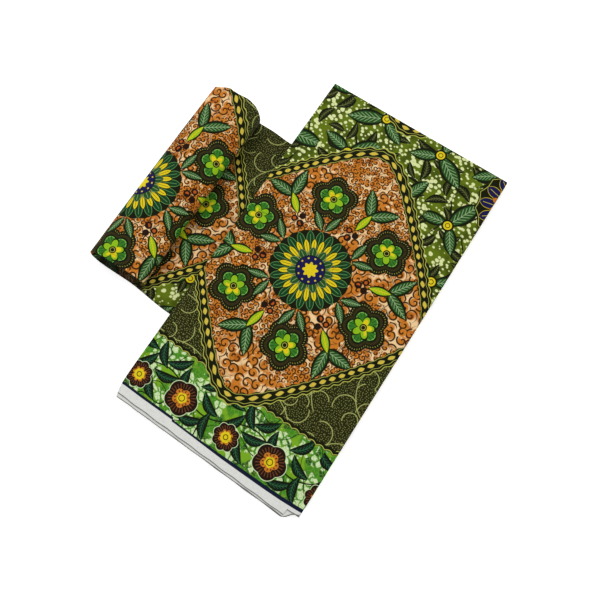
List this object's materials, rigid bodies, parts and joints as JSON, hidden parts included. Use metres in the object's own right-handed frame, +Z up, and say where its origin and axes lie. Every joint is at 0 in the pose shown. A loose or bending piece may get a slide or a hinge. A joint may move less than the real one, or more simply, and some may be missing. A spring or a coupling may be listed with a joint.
{
  "type": "folded wax print cotton cloth with a rolled end",
  "caption": "Length of wax print cotton cloth, folded into a flat oblong stack, with its narrower end laid out flat to one side and rolled up.",
  "frame": {"origin": "under the middle of the whole, on the surface that it lies on", "axes": "+X across the stack, away from the roll; +Y along the stack, from the selvedges to the far fold; +Z up"},
  "size_m": [0.4592, 0.5914, 0.0459],
  "materials": {
    "print_face": "matt printed cotton",
    "selvedge_panel": "matt cotton, unprinted selvedge",
    "folded_layers": "matt printed cotton, fold edges"
  },
  "bodies": {
    "root": {"stack_core": "folded_layers", "second_panel": "selvedge_panel", "top_panel": "print_face", "tail": "print_face", "roll_wrap": "print_face", "roll_core": "folded_layers"}
  },
  "joints": []
}
